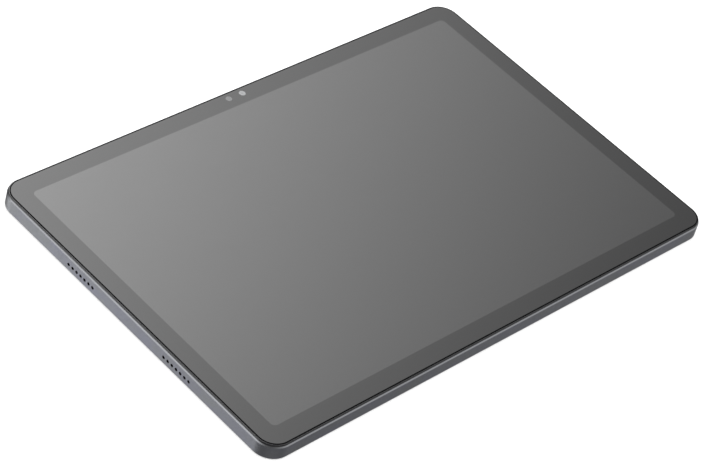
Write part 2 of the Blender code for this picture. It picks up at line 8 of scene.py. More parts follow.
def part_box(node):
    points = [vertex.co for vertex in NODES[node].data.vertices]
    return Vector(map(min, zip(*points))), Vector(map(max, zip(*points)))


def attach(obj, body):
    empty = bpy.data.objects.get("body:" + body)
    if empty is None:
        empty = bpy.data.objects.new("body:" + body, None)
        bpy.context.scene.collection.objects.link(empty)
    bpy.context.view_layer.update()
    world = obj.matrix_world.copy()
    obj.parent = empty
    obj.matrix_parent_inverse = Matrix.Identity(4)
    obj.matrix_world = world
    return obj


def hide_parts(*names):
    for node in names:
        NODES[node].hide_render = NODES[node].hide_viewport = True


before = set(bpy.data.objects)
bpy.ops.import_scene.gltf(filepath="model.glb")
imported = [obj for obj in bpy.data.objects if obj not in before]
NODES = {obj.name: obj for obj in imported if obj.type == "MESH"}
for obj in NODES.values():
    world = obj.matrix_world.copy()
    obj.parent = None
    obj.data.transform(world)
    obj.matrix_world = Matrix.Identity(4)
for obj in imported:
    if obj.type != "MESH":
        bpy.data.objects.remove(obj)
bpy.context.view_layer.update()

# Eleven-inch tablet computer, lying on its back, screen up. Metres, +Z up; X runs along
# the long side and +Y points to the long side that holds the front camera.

MM = 0.001

# ---------------------------------------------------------------- sizes from the frame


def middle(node):
    """Middle of a CAD node's box."""
    low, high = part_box(node)
    return (low + high) / 2


def half(node):
    """Half of a CAD node's size along each axis."""
    low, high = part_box(node)
    return (high - low) / 2


HALF_X, HALF_Y, _ = half("rear_housing")
HOUSING_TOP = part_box("rear_housing")[1].z
FRAME_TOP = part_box("front_frame")[1].z
GLASS_BOTTOM, GLASS_TOP = (corner.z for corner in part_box("cover_glass"))
GLASS_INSET = HALF_X - half("cover_glass").x
GRILLES = [middle("speaker_mesh_left_lower"), middle("speaker_mesh_left_upper"),
           middle("speaker_mesh_right_lower"), middle("speaker_mesh_right_upper")]
REAR_CAMERA = middle("rear_camera_ring")
FLASH = middle("flash_lens")

BODY_CORNER = 9.0 * MM          # corner radius seen from above
WALL = 1.5 * MM                 # side wall of the housing
FLOOR_THICK = 0.9 * MM          # back of the housing
BACK_ROUND = 0.6 * MM           # rounding between the back and the sides
CHAMFER = 0.45 * MM             # polished edge at the top of the metal
FRAME_INSET = 0.40 * MM         # plastic frame's outer face, in from the side
FRAME_SHOULDER = 0.35 * MM      # rounding between that face and the lip
PIECE_GAP = 0.10 * MM           # between the frame and the glass, and under the frame
LEDGE = (6.20 * MM, 6.65 * MM)  # ledge that the glass is taped down on
LEDGE_INNER = 6.0 * MM          # inner edge of the ledge, in from the side
SKIRT_OUTER = 1.7 * MM          # faces of the frame's skirt, in from the side
SKIRT_INNER = 2.7 * MM
SKIRT_BOTTOM = 5.0 * MM
GLASS_ROUND = 0.45 * MM         # rounding of the glass edge
DISPLAY_HALF = (118.45 * MM, 74.05 * MM)
DISPLAY_CORNER = 2.2 * MM
DISPLAY_X = -0.3 * MM           # middle of the lit area
FRONT_CAMERA = (0.0, 79.4 * MM)
LIGHT_SENSOR = (-7.7 * MM, 79.4 * MM)
SIGHT_RADIUS = 1.7 * MM         # holes in the frame that the two look through
CAMERA_WELL, SENSOR_WELL = 1.52 * MM, 1.5 * MM    # where their windows sit in the glass
WELL_DEPTH = 0.2 * MM
GRILLE_HOLES, GRILLE_PITCH, GRILLE_RADIUS = 7, 2.5 * MM, 0.70 * MM
MICROPHONE_X = (-30.0 * MM, 54.0 * MM)
MICROPHONE_Z = 2.5 * MM
MICROPHONE_RADIUS = 0.5 * MM
POST_RADIUS, POST_BORE = 1.8 * MM, 0.9 * MM       # posts that the screws go into
POST_FOOT, BORE_BOTTOM, POST_TOP = 0.5 * MM, 1.9 * MM, 3.75 * MM
RECESS_RADIUS, RECESS_DEPTH = 6.5 * MM, 0.6 * MM  # round the rear camera's ring
BARREL_HOLE = 3.8 * MM
FLASH_HOLE = 1.7 * MM
SLOT_GAP = 0.2 * MM             # clearance round what fills a slot
KEY_CAP = {"power_button": (6.5 * MM, 1.0 * MM), "volume_rocker": (12.0 * MM, 1.0 * MM)}
KEY_CORNER = 0.8 * MM
KEY_SHOULDER = 0.55 * MM        # thickness of the flange behind the wall
TRAY_CENTRE = (57.5 * MM, 2.8 * MM)
TRAY_HALF = (8.5 * MM, 1.2 * MM)
TRAY_CORNER = 0.9 * MM
TRAY_FACE = 1.3 * MM            # thickness of the tray's face plate
CARRIER_CENTRE = (59.5 * MM, 2.6 * MM)
CARRIER_HALF = (6.0 * MM, 0.5 * MM)
POCKET_CENTRE = (114.5 * MM, 59.5 * MM)
POCKET_HALF = (7.5 * MM, 5.5 * MM)
PIN_HOLE = (50.5 * MM, 2.5 * MM)
PIN_RADIUS = 0.45 * MM
USB_Z = middle("usb_c_shell").z
USB_HALF = (4.47 * MM, 1.58 * MM)
CORNER_STEPS = 24

# ---------------------------------------------------------------- mesh tools


def outline(half_u, half_v, corner, steps=CORNER_STEPS):
    """Points round a rectangle with rounded corners, anticlockwise."""
    points = []
    for number, (su, sv) in enumerate(((1, 1), (-1, 1), (-1, -1), (1, -1))):
        for k in range(steps + 1):
            turn = math.pi / 2 * (number + k / steps)
            points.append((su * (half_u - corner) + corner * math.cos(turn),
                           sv * (half_v - corner) + corner * math.sin(turn)))
    return points


def body_outline(inset):
    """The body's own outline, drawn in by inset."""
    return outline(HALF_X - inset, HALF_Y - inset, max(BODY_CORNER - inset, 0.3 * MM))


def place(axis, centre, u, v, along):
    """A point in the plane across an axis, at a position along it."""
    u, v = centre[0] + u, centre[1] + v
    return {"X": (along, u, v), "Y": (u, along, v), "Z": (u, v, along)}[axis]


def skin(bm, rings, zones=None, close=False):
    """Join rings of points with bands of faces, and cap the ends or close the loop.

    zones number each band's material.
    """
    loops = [[bm.verts.new(point) for point in ring] for ring in rings]
    pairs = list(zip(loops, loops[1:]))
    if close:
        pairs.append((loops[-1], loops[0]))
    for number, (a, b) in enumerate(pairs):
        for i in range(len(a)):
            j = (i + 1) % len(a)
            face = bm.faces.new((a[i], a[j], b[j], b[i]))
            face.material_index = zones[number] if zones else 0
    if not close:
        for loop, number in ((loops[0], 0), (loops[-1], -1)):
            face = bm.faces.new(loop)
            face.material_index = zones[number] if zones else 0


def plug(bm, axis, centre, half_size, corner, levels, steps=8, zones=None):
    """Loft a rounded rectangle along an axis through (inset, position) levels."""
    rings = []
    for inset, along in levels:
        ring = outline(half_size[0] - inset, half_size[1] - inset,
                       max(corner - inset, 0.01 * MM), steps)
        rings.append([place(axis, centre, u, v, along) for u, v in ring])
    skin(bm, rings, zones)


def turned(bm, axis, centre, profile, steps=48, zones=None, close=False):
    """Sweep (radius, position) points round an axis."""
    rings = []
    for radius, along in profile:
        rings.append([place(axis, centre, radius * math.cos(2 * math.pi * k / steps),
                            radius * math.sin(2 * math.pi * k / steps), along)
                      for k in range(steps)])
    skin(bm, rings, zones, close=close)


def rounding(radius, edge, way, steps=5, inset=0.0):
    """Levels that round off a rim lying at edge; way is +1 where the solid ends upwards."""
    levels = []
    for k in range(steps + 1):
        turn = math.pi / 2 * k / steps
        levels.append((inset + radius * (1 - math.cos(turn)),
                       edge - way * radius * (1 - math.sin(turn))))
    return levels


def new_object(name, bm, materials):
    """An object from a mesh, with its materials in order."""
    bmesh.ops.recalc_face_normals(bm, faces=bm.faces)
    mesh = bpy.data.meshes.new(name)
    bm.to_mesh(mesh)
    bm.free()
    for material in materials:
        mesh.materials.append(material)
    obj = bpy.data.objects.new(name, mesh)
    bpy.context.scene.collection.objects.link(obj)
    return obj


def carve(obj, bm, operation="DIFFERENCE"):
    """Cut a mesh out of an object, or join it on, and keep the result."""
    tool = new_object("tool", bm, list(obj.data.materials))
    modifier = obj.modifiers.new("carve", "BOOLEAN")
    modifier.operation = operation
    modifier.solver = "EXACT"
    modifier.object = tool
    graph = bpy.context.evaluated_depsgraph_get()
    result = bpy.data.meshes.new_from_object(obj.evaluated_get(graph))
    obj.modifiers.clear()
    old = obj.data
    obj.data = result
    name = old.name
    bpy.data.meshes.remove(old)
    result.name = name
    tool_mesh = tool.data
    bpy.data.objects.remove(tool)
    bpy.data.meshes.remove(tool_mesh)


def settle(obj, body, nodes, sharp=32):
    """Shade a piece, and tie it to its body and its CAD nodes."""
    obj.data.shade_smooth()
    obj.data.set_sharp_from_angle(angle=math.radians(sharp))
    modifier = obj.modifiers.new("flat_faces_stay_flat", "WEIGHTED_NORMAL")
    modifier.keep_sharp = True
    modifier.weight = 80
    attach(obj, body)
    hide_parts(*nodes)


# ---------------------------------------------------------------- node tools


class Look:
    """A node material under construction."""

    def __init__(self, name, **sockets):
        self.material = bpy.data.materials.new(name)
        self.material.use_nodes = True
        self.tree = self.material.node_tree
        self.shader = self.tree.nodes["Principled BSDF"]
        self.put(self.shader, **sockets)

    def put(self, node, **sockets):
        """Set sockets by name, by value or by link; an underscore stands for a space."""
        for name, value in sockets.items():
            socket = node.inputs[name.replace("_", " ")]
            if isinstance(value, bpy.types.NodeSocket):
                self.tree.links.new(value, socket)
            else:
                socket.default_value = value
        return node

    def node(self, kind, settings=None, **sockets):
        """Add a node with its settings and sockets."""
        node = self.tree.nodes.new(kind)
        for name, value in (settings or {}).items():
            setattr(node, name, value)
        return self.put(node, **sockets)

    def place(self, stretch=(1, 1, 1), turn=(0, 0, 0)):
        """Object coordinates in metres, stretched and turned."""
        start = self.node("ShaderNodeTexCoord").outputs["Object"]
        return self.node("ShaderNodeMapping", Vector=start, Scale=stretch,
                         Rotation=turn).outputs["Vector"]

    def noise(self, scale, detail=3.0, roughness=0.5, where=None):
        """Noise from 0 to 1; scale is in waves to a metre."""
        return self.node("ShaderNodeTexNoise", Vector=where or self.place(), Scale=scale,
                         Detail=detail, Roughness=roughness).outputs["Fac"]

    def stripes(self, scale, axis="X", where=None, distortion=0.0):
        """Parallel bands, about 3.2 times scale of them to a metre."""
        return self.node("ShaderNodeTexWave",
                         {"bands_direction": axis, "wave_type": "BANDS"},
                         Vector=where or self.place(), Scale=scale,
                         Distortion=distortion).outputs["Fac"]

    def spread(self, value, low, high, start=0.0, end=1.0):
        """A value taken from one span to another."""
        node = self.node("ShaderNodeMapRange")
        self.put(node, Value=value)
        for name, number in (("From Min", start), ("From Max", end),
                             ("To Min", low), ("To Max", high)):
            node.inputs[name].default_value = number
        return node.outputs["Result"]

    def math(self, operation, a, b=0.0):
        """One sum."""
        node = self.node("ShaderNodeMath", {"operation": operation})
        for socket, value in zip(node.inputs, (a, b)):
            if isinstance(value, bpy.types.NodeSocket):
                self.tree.links.new(value, socket)
            else:
                socket.default_value = value
        return node.outputs[0]

    def blend(self, share, a, b, kind="MIX"):
        """Two colours mixed."""
        node = self.node("ShaderNodeMix", {"data_type": "RGBA", "blend_type": kind})
        for socket, value in ((node.inputs[0], share), (node.inputs[6], a),
                              (node.inputs[7], b)):
            if isinstance(value, bpy.types.NodeSocket):
                self.tree.links.new(value, socket)
            else:
                socket.default_value = value if isinstance(value, float) else (*value, 1.0)
        return node.outputs[2]

    def relief(self, height, strength, depth):
        """Bump from a height map."""
        return self.node("ShaderNodeBump", Height=height, Strength=strength,
                         Distance=depth).outputs["Normal"]


def grained(name, dark, light, scale, rough, metallic=0.0, bump=0.1, stretch=(1, 1, 1),
            **sockets):
    """A surface whose colour, roughness and relief all follow a fine grain."""
    look = Look(name, Metallic=metallic, **sockets)
    where = look.place(stretch)
    fine = look.noise(scale, 4.0, 0.6, where)
    broad = look.noise(scale / 25, 2.0, 0.5, where)
    both = look.math("ADD", look.math("MULTIPLY", fine, 0.6), look.math("MULTIPLY", broad, 0.4))
    share = look.spread(both, 0.0, 1.0, 0.3, 0.7)
    look.put(look.shader, Base_Color=look.blend(share, dark, light),
             Roughness=look.spread(broad, *rough, 0.3, 0.7),
             Normal=look.relief(fine, bump, 0.02 * MM))
    return look.material


# ---------------------------------------------------------------- materials


def anodised(name, grey, violet, rough=(0.34, 0.44)):
    """Bead-blasted, anodised aluminium: fine sparkle and slow drifts of hue."""
    look = Look(name, Metallic=0.9)
    drift = look.spread(look.noise(55.0, 3.0, 0.6, look.place((1, 1, 2.5))), 0.0, 1.0, 0.38, 0.62)
    grain = look.noise(3600.0, 3.0, 0.6)
    blast = look.noise(900.0, 2.0, 0.5)
    tint = look.blend(drift, grey, violet)
    shade = look.spread(grain, 0.88, 1.12, 0.25, 0.75)
    look.put(look.shader,
             Base_Color=look.blend(1.0, tint, look.node("ShaderNodeCombineColor", Red=shade,
                                   Green=shade, Blue=shade).outputs[0], "MULTIPLY"),
             Roughness=look.spread(blast, *rough, 0.3, 0.7),
             Normal=look.relief(grain, 0.10, 0.01 * MM))
    return look.material


ALUMINIUM = anodised("anodised_slate", (0.211, 0.218, 0.232), (0.206, 0.211, 0.253))
BAND = anodised("anodised_band", (0.135, 0.137, 0.153), (0.135, 0.135, 0.161),
                rough=(0.26, 0.33))
POLISHED = grained("polished_edge", (0.45, 0.46, 0.48), (0.51, 0.52, 0.55), 1500.0,
                   (0.16, 0.22), metallic=1.0, bump=0.03)
# Near-black, dull paint for the walls of holes and slots: painted shade where little light gets
# in. The same paint lines the groove across the back as a dark seam.
HOLE_SHADE_AND_SEAM = grained("painted_hole_shade_and_seam", (0.002, 0.002, 0.0025), (0.006, 0.006, 0.007), 2500.0,
               (0.5, 0.65), Specular_IOR_Level=0.05)
RIM = grained("moulded_rim", (0.007, 0.007, 0.008), (0.012, 0.012, 0.014), 2800.0,
              (0.22, 0.28), bump=0.05, Specular_IOR_Level=0.75)
INK_EDGE = grained("glass_edge_ink", (0.003, 0.003, 0.0033), (0.006, 0.006, 0.0065), 900.0,
                   (0.5, 0.6), bump=0.01, Specular_IOR_Level=0.0)


def glass(name, ink, light, inner):
    """Polished cover glass over something dark, with the faintest smears on it."""
    look = Look(name, Coat_Weight=1.0, Coat_Roughness=0.03, Coat_IOR=1.57,
                Specular_IOR_Level=inner)
    smear = look.noise(60.0, 4.0, 0.65, look.place((1.0, 2.2, 1.0), (0, 0, 0.5)))
    dots = look.math("MULTIPLY", look.stripes(1250.0, "X"), look.stripes(1250.0, "Y"))
    share = look.math("ADD", look.math("MULTIPLY", smear, 0.7), look.math("MULTIPLY", dots, 0.3))
    look.put(look.shader, Base_Color=look.blend(share, ink, light),
             Roughness=look.spread(smear, 0.12, 0.20, 0.3, 0.7))
    return look.material


BEZEL = glass("glass_over_black_ink", (0.0010, 0.0010, 0.0012), (0.0022, 0.0022, 0.0024), 0.0)
DISPLAY = glass("glass_over_display", (0.0010, 0.0010, 0.0012), (0.0022, 0.0022, 0.0024), 0.24)


def lens_paint(name, dark, light):
    """Grey parts seen under the cover glass."""
    return grained(name, dark, light, 2400.0, (0.25, 0.35), bump=0.02, Coat_Weight=1.0,
                   Coat_Roughness=0.03, Coat_IOR=1.5)


LENS_RING = lens_paint("front_lens_ring", (0.093, 0.096, 0.100), (0.126, 0.129, 0.133))
LENS_FACE = lens_paint("front_lens_face", (0.100, 0.102, 0.106), (0.125, 0.128, 0.132))
LENS_PUPIL = lens_paint("front_lens_pupil", (0.075, 0.076, 0.080), (0.095, 0.097, 0.102))
SENSOR_FACE = lens_paint("light_sensor_face", (0.020, 0.021, 0.023), (0.029, 0.030, 0.032))

MACHINED = grained("machined_ring", (0.30, 0.305, 0.32), (0.38, 0.385, 0.40), 1200.0,
                   (0.18, 0.26), metallic=1.0, bump=0.05)
REAR_GLASS = glass("rear_lens_glass", (0.003, 0.003, 0.004), (0.008, 0.008, 0.014), 0.5)
BARREL = grained("lens_barrel", (0.012, 0.012, 0.014), (0.03, 0.03, 0.034), 2000.0,
                 (0.3, 0.45), bump=0.1)
COATED = grained("coated_lens", (0.010, 0.008, 0.030), (0.030, 0.012, 0.060), 180.0,
                 (0.02, 0.05), bump=0.0, Coat_Weight=1.0, Coat_Roughness=0.02)
FLASH_PLASTIC = grained("flash_plastic", (0.62, 0.58, 0.36), (0.78, 0.74, 0.52), 1200.0,
                        (0.15, 0.28), bump=0.05, Subsurface_Weight=0.2,
                        Subsurface_Scale=0.0005)
NICKEL = grained("nickel_steel", (0.46, 0.46, 0.47), (0.58, 0.58, 0.59), 900.0,
                 (0.22, 0.34), metallic=1.0, bump=0.05, stretch=(0.1, 1, 1))
GOLD = grained("gold_contacts", (0.75, 0.50, 0.18), (0.85, 0.60, 0.26), 2000.0,
               (0.2, 0.3), metallic=1.0, bump=0.03)
MOULDING = grained("black_moulding", (0.012, 0.012, 0.013), (0.028, 0.028, 0.031), 1800.0,
                   (0.45, 0.6), bump=0.12)
RUBBER = grained("seal_rubber", (0.018, 0.018, 0.018), (0.035, 0.035, 0.034), 1400.0,
                 (0.75, 0.9), bump=0.15)

# ---------------------------------------------------------------- housing

# HOLE marks the walls of the holes, the slots, the camera recess and the back's groove. They take
# the near-black hole paint, which is painted shade, and a dark seam in the groove.
METAL, EDGE, HOLE, BACK_BAND = range(4)
BAND_START = 50.5 * MM          # the camera end of the back starts here
GROOVE_HALF = (0.12 * MM, 0.10 * MM)


def shell_profile():
    """Housing cross-section as (inset, height), from the back round to the pocket."""
    steps = 8
    points = []
    for k in range(steps + 1):
        turn = math.pi / 2 * k / steps
        points.append((BACK_ROUND * (1 - math.sin(turn)), BACK_ROUND * (1 - math.cos(turn))))
    points.append((0.0, HOUSING_TOP - CHAMFER))
    points.append((CHAMFER, HOUSING_TOP))
    points.append((WALL, HOUSING_TOP))
    points.append((WALL, FLOOR_THICK + 0.3 * MM))
    points.append((WALL + 0.1 * MM, FLOOR_THICK + 0.1 * MM))
    points.append((WALL + 0.3 * MM, FLOOR_THICK))
    zones = [METAL] * steps + [METAL, EDGE, METAL, METAL, METAL, METAL]
    return points, zones


def grille_holes(bm):
    """Drilled and lightly countersunk speaker holes."""
    first = -(GRILLE_HOLES - 1) / 2 * GRILLE_PITCH
    sink = 0.06 * MM
    for spot in GRILLES:
        side = math.copysign(1.0, spot.x)
        for i in range(GRILLE_HOLES):
            centre = (spot.y + first + i * GRILLE_PITCH, spot.z)
            turned(bm, "X", centre, [
                (GRILLE_RADIUS, side * (HALF_X - 2 * WALL)),
                (GRILLE_RADIUS, side * (HALF_X - sink)),
                (GRILLE_RADIUS + 2 * sink, side * (HALF_X + sink))],
                steps=24, zones=[HOLE, METAL])


def slot_cut(bm, axis, centre, half_size, corner):
    """A slot through a side wall, a little larger than what fills it."""
    reach = HALF_X if axis == "X" else HALF_Y
    size = (half_size[0] + SLOT_GAP, half_size[1] + SLOT_GAP)
    plug(bm, axis, centre, size, corner + SLOT_GAP,
         [(0.0, reach - 2 * WALL), (0.0, reach + WALL)], steps=10, zones=[HOLE])


def make_housing():
    """Aluminium back and sides."""
    points, zones = shell_profile()
    bm = bmesh.new()
    rings = [[(x, y, z) for x, y in body_outline(inset)] for inset, z in points]
    skin(bm, rings, zones)
    housing = new_object("housing_shell", bm, [ALUMINIUM, POLISHED, HOLE_SHADE_AND_SEAM, BAND])

    posts = bmesh.new()
    for number in range(1, 5):
        spot = middle(f"mid_frame_screw_{number}")
        turned(posts, "Z", (spot.x, spot.y),
               [(POST_BORE, BORE_BOTTOM), (POST_BORE, POST_TOP), (POST_RADIUS, POST_TOP),
                (POST_RADIUS, POST_FOOT), (POST_BORE, POST_FOOT)], steps=24, close=True)
    carve(housing, posts, "UNION")

    cuts = bmesh.new()
    grille_holes(cuts)
    for x in MICROPHONE_X:
        turned(cuts, "Y", (x, MICROPHONE_Z), [(MICROPHONE_RADIUS, HALF_Y - 2 * WALL),
                                              (MICROPHONE_RADIUS, HALF_Y + WALL)],
               steps=24, zones=[HOLE])
    for node in ("power_button", "volume_rocker"):
        spot = middle(node)
        slot_cut(cuts, "Y", (spot.x, spot.z), KEY_CAP[node], KEY_CORNER)
    slot_cut(cuts, "X", TRAY_CENTRE, TRAY_HALF, TRAY_CORNER)
    slot_cut(cuts, "X", (0.0, USB_Z), USB_HALF, USB_HALF[1] - 0.01 * MM)
    turned(cuts, "Z", REAR_CAMERA.xy,
           [(RECESS_RADIUS, -WALL), (RECESS_RADIUS, RECESS_DEPTH),
            (BARREL_HOLE, RECESS_DEPTH), (BARREL_HOLE, 2 * WALL)],
           steps=64, zones=[METAL, HOLE, HOLE])
    turned(cuts, "Z", FLASH.xy, [(FLASH_HOLE, -WALL), (FLASH_HOLE, 2 * WALL)], steps=40,
           zones=[HOLE])
    carve(housing, cuts)

    groove = bmesh.new()
    plug(groove, "X", (BAND_START, 0.0), GROOVE_HALF, 0.02 * MM,
         [(0.0, -HALF_X - WALL), (0.0, HALF_X + WALL)], steps=2, zones=[HOLE])
    carve(housing, groove)
    for face in housing.data.polygons:
        if face.material_index == METAL and face.normal.z < -0.1 \
                and face.center.y > BAND_START and face.center.z < BACK_ROUND / 2:
            face.material_index = BACK_BAND
    settle(housing, "tablet", ["rear_housing"])


# ---------------------------------------------------------------- rim and glass


def make_rim():
    """Plastic frame between the metal and the glass."""
    foot = HOUSING_TOP + PIECE_GAP
    lip = GLASS_INSET - PIECE_GAP
    soft = 0.05 * MM
    points = [(FRAME_INSET, foot + soft)]
    points += rounding(FRAME_SHOULDER, FRAME_TOP, 1, 6, FRAME_INSET)
    points += [(lip - soft / 2, FRAME_TOP), (lip, FRAME_TOP - soft), (lip, LEDGE[1]),
               (LEDGE_INNER, LEDGE[1]), (LEDGE_INNER, LEDGE[0]), (SKIRT_INNER, LEDGE[0]),
               (SKIRT_INNER, SKIRT_BOTTOM), (SKIRT_OUTER, SKIRT_BOTTOM),
               (SKIRT_OUTER, foot), (FRAME_INSET + soft, foot)]
    bm = bmesh.new()
    skin(bm, [[(x, y, z) for x, y in body_outline(inset)] for inset, z in points],
         [0] * len(points), close=True)
    rim = new_object("front_rim", bm, [RIM, HOLE_SHADE_AND_SEAM])
    # The sight holes' walls take the near-black hole paint, which is painted shade.
    sight = bmesh.new()
    for spot in (FRONT_CAMERA, LIGHT_SENSOR):
        turned(sight, "Z", spot, [(SIGHT_RADIUS, SKIRT_BOTTOM), (SIGHT_RADIUS, GLASS_TOP)],
               steps=32, zones=[1])
    carve(rim, sight)
    settle(rim, "tablet", ["front_frame"])


def make_glass():
    """Cover glass: inked edge, black border, and the display behind it."""
    ink, bezel, display = range(3)
    soft = 0.05 * MM
    levels = [(GLASS_INSET + soft, GLASS_BOTTOM), (GLASS_INSET, GLASS_BOTTOM + soft)]
    levels += rounding(GLASS_ROUND, GLASS_TOP, 1, 8, GLASS_INSET)
    rings = [[(x, y, z) for x, y in body_outline(inset)] for inset, z in levels]
    rings.append([(DISPLAY_X + x, y, GLASS_TOP)
                  for x, y in outline(*DISPLAY_HALF, DISPLAY_CORNER)])
    zones = [ink] * (len(levels) - 1) + [bezel]
    bm = bmesh.new()
    skin(bm, rings, zones)
    for face in bm.faces:
        if len(face.verts) > 4 and face.calc_center_median().z > GLASS_TOP - soft:
            face.material_index = display
        elif len(face.verts) > 4:
            face.material_index = ink
    pane = new_object("glass_pane", bm, [INK_EDGE, BEZEL, DISPLAY])
    wells = bmesh.new()
    for spot, radius in ((FRONT_CAMERA, CAMERA_WELL), (LIGHT_SENSOR, SENSOR_WELL)):
        turned(wells, "Z", spot,
               [(radius, GLASS_TOP - WELL_DEPTH), (radius, GLASS_TOP + WELL_DEPTH)],
               zones=[bezel])
    carve(pane, wells)
    settle(pane, "tablet", ["cover_glass"])

    flush, bed = GLASS_TOP - 0.005 * MM, GLASS_TOP - 0.15 * MM
    edge, face_edge, pupil_edge = 1.50 * MM, 1.10 * MM, 0.45 * MM
    bm = bmesh.new()
    turned(bm, "Z", FRONT_CAMERA,
           [(edge, bed), (edge, flush), (face_edge, flush), (pupil_edge, flush)],
           zones=[0, 0, 1])
    for face in bm.faces:
        if len(face.verts) > 4:
            face.material_index = 2 if face.calc_center_median().z > bed else 0
    window = new_object("front_camera_window", bm, [LENS_RING, LENS_FACE, LENS_PUPIL])
    settle(window, "tablet", [])
    edge, face_edge = 1.48 * MM, 0.9 * MM
    bm = bmesh.new()
    turned(bm, "Z", LIGHT_SENSOR, [(edge, bed), (edge, flush), (face_edge, flush)])
    window = new_object("light_sensor_window", bm, [SENSOR_FACE])
    settle(window, "tablet", [])


# ---------------------------------------------------------------- keys, tray, socket


def make_key(node, body, name):
    """A side key: rounded cap, and the shoulder that keeps it in the wall."""
    low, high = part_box(node)
    spot, cap = middle(node), KEY_CAP[node]
    shoulder = low.y + KEY_SHOULDER
    bm = bmesh.new()
    levels = [(0.0, shoulder - 0.05 * MM)] + rounding(0.18 * MM, high.y, 1, 6)
    plug(bm, "Y", (spot.x, spot.z), cap, KEY_CORNER, levels, steps=12)
    key = new_object(name, bm, [ALUMINIUM])
    flange = bmesh.new()
    plug(flange, "Y", (spot.x, spot.z), (cap[0] + 0.6 * MM, cap[1] + 0.4 * MM), 0.9 * MM,
         [(0.1 * MM, low.y), (0.0, low.y + 0.1 * MM), (0.0, shoulder)], steps=6)
    carve(key, flange, "UNION")
    settle(key, body, [node])


def make_tray():
    """Card tray: face plate with a pin hole, and the carrier with its card pocket."""
    low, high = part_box("card_tray")
    seat = high.x - TRAY_FACE
    bm = bmesh.new()
    plug(bm, "X", TRAY_CENTRE, TRAY_HALF, TRAY_CORNER,
         [(0.05 * MM, seat), (0.0, seat + 0.05 * MM)] + rounding(0.08 * MM, high.x, 1, 4),
         steps=10)
    tray = new_object("card_tray_slider", bm, [ALUMINIUM, HOLE_SHADE_AND_SEAM, NICKEL])
    carrier = bmesh.new()
    plug(carrier, "X", CARRIER_CENTRE, CARRIER_HALF, 0.1 * MM,
         [(0.15 * MM, low.x), (0.0, low.x + 0.3 * MM), (0.0, seat + 0.1 * MM)], steps=3,
         zones=[2, 2])
    carve(tray, carrier, "UNION")
    pockets = bmesh.new()
    plug(pockets, "Z", POCKET_CENTRE, POCKET_HALF, 0.6 * MM,
         [(0.0, 2.3 * MM), (0.0, 4.0 * MM)], steps=5, zones=[2])
    # The pin hole's wall takes the near-black hole paint, which is painted shade.
    turned(pockets, "X", PIN_HOLE,
           [(PIN_RADIUS, seat - MM), (PIN_RADIUS, high.x - 0.05 * MM),
            (PIN_RADIUS + 0.1 * MM, high.x + 0.05 * MM)], steps=24, zones=[1, 0])
    carve(tray, pockets)
    settle(tray, "tray", ["card_tray"])


def make_seal():
    """Rubber seal round the tray's neck, with a double lip."""
    low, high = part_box("card_tray_seal")
    spot, size = middle("card_tray_seal"), half("card_tray_seal")
    third = (high.x - low.x) / 6
    bm = bmesh.new()
    outer = [(0.0, low.x + third / 2), (0.0, low.x + third), (0.1 * MM, low.x + 2 * third),
             (0.1 * MM, high.x - 2 * third), (0.0, high.x - third), (0.0, high.x - third / 2)]
    plug(bm, "X", (spot.y, spot.z), size.yz, 0.7 * MM, outer, steps=6)
    seal = new_object("card_tray_seal_ring", bm, [RUBBER])
    mouth = bmesh.new()
    plug(mouth, "X", CARRIER_CENTRE, [side + 0.1 * MM for side in CARRIER_HALF], 0.1 * MM,
         [(0.0, low.x - MM), (0.0, high.x + MM)], steps=3)
    carve(seal, mouth)
    settle(seal, "tray", ["card_tray_seal"])


def make_usb():
    """Charging socket: drawn steel shell, and a tongue with twelve contacts a side."""
    low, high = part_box("usb_c_shell")
    spot, size = middle("usb_c_shell"), half("usb_c_shell")
    skin_thick = 0.3 * MM
    mouth = (size.y - skin_thick, size.z - skin_thick)
    bm = bmesh.new()
    plug(bm, "X", (spot.y, spot.z), size.yz, size.z - 0.01 * MM,
         [(0.15 * MM, low.x), (0.0, low.x + 0.15 * MM)] + rounding(0.1 * MM, high.x, 1, 4),
         steps=16)
    shell = new_object("usb_shell", bm, [NICKEL])
    hollow = bmesh.new()
    plug(hollow, "X", (spot.y, spot.z), mouth, mouth[1] - 0.01 * MM,
         [(0.0, low.x + MM), (0.0, high.x - 0.1 * MM), (-0.15 * MM, high.x + 0.05 * MM)],
         steps=16)
    carve(shell, hollow)
    settle(shell, "tablet", ["usb_c_shell"])

    low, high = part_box("usb_c_tongue")
    spot, size = middle("usb_c_tongue"), half("usb_c_tongue")
    proud = 0.02 * MM
    contacts, pitch = 12, 0.5 * MM
    bm = bmesh.new()
    plug(bm, "X", (spot.y, spot.z), (size.y, size.z - proud), 0.15 * MM,
         [(0.0, low.x), (0.0, high.x - 0.2 * MM), (0.12 * MM, high.x)], steps=4)
    for face in (-1, 1):
        for i in range(contacts):
            y = spot.y + (i - (contacts - 1) / 2) * pitch
            top = spot.z + face * size.z
            inner = spot.z + face * (size.z - 2 * proud)
            plug(bm, "Z", ((low.x + high.x) / 2 + 0.8 * MM, y), (2.0 * MM, 0.13 * MM),
                 0.05 * MM, [(0.0, inner), (0.0, top)], steps=2, zones=[1])
    tongue = new_object("usb_tongue", bm, [MOULDING, GOLD])
    settle(tongue, "tablet", ["usb_c_tongue"])


# ---------------------------------------------------------------- rear camera


